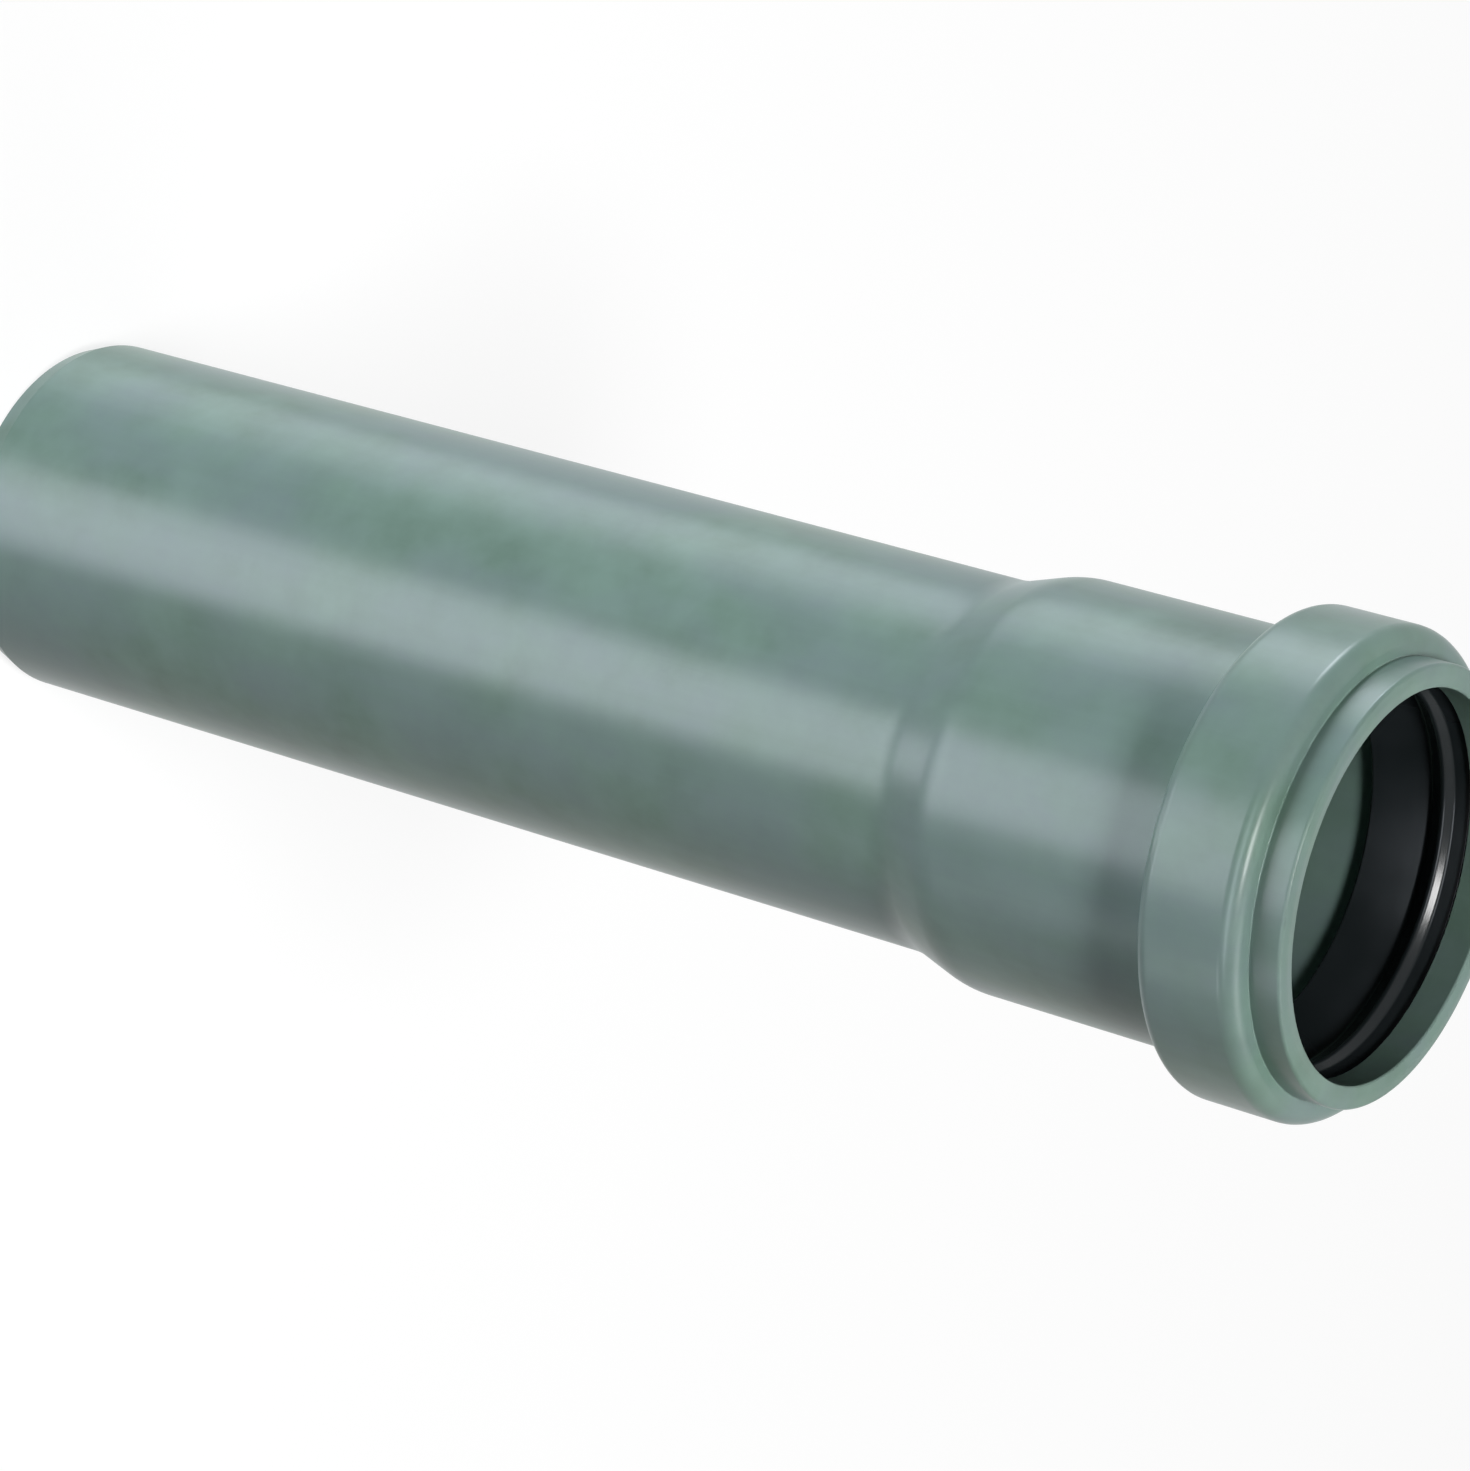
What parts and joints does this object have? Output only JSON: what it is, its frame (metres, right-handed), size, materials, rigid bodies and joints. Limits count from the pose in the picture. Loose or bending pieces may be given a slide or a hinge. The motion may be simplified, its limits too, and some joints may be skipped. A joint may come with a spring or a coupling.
{
  "type": "polypropylene drain pipe",
  "caption": "Short push-fit drain pipe in grey-green polypropylene: chamfered spigot, flared socket, round bead and a black rubber lip ring.",
  "frame": {"origin": "centre of the spigot's square-cut end, on the floor that the pipe stands on", "axes": "+Z along the pipe's axis, from the spigot's end up to the mouth of the socket; X and Y are alike, because the pipe is round"},
  "size_m": [0.0644, 0.0644, 0.218],
  "materials": {
    "polypropylene": "satin grey-green polypropylene with fine draw lines along the barrel",
    "rubber": "smooth black moulded rubber, lightly greased"
  },
  "bodies": {
    "root": {"pipe": "polypropylene", "seal_ring": "rubber"}
  },
  "joints": []
}
